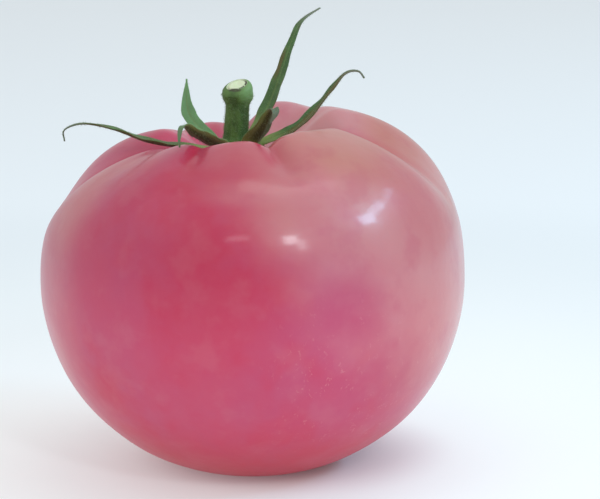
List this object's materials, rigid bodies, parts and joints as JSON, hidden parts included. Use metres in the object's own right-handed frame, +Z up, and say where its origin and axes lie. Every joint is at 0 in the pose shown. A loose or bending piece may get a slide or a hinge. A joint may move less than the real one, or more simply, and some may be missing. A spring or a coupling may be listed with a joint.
{
  "type": "tomato",
  "caption": "Ripe pink beefsteak tomato for food and kitchen scenes: a broad, lobed fruit with a green calyx of thin curling sepals and a short cut stem.",
  "frame": {"origin": "middle of the flat spot that the fruit rests on", "axes": "+Z up through the fruit to its stem, -Y the front that the picture shows, +X to the right in that view"},
  "size_m": [0.1004, 0.097, 0.1072],
  "materials": {
    "skin": "smooth waxy tomato skin, satin gloss, translucent pink over red flesh, paler on the shoulders",
    "sepals": "dull green leaf with fine hairs, paler inside and brown along some edges",
    "stem": "dull dark green stalk with fine hairs, and a pale cream green cut face"
  },
  "bodies": {
    "root": {"fruit": "skin", "calyx": "sepals", "stem": "stem"}
  },
  "joints": []
}
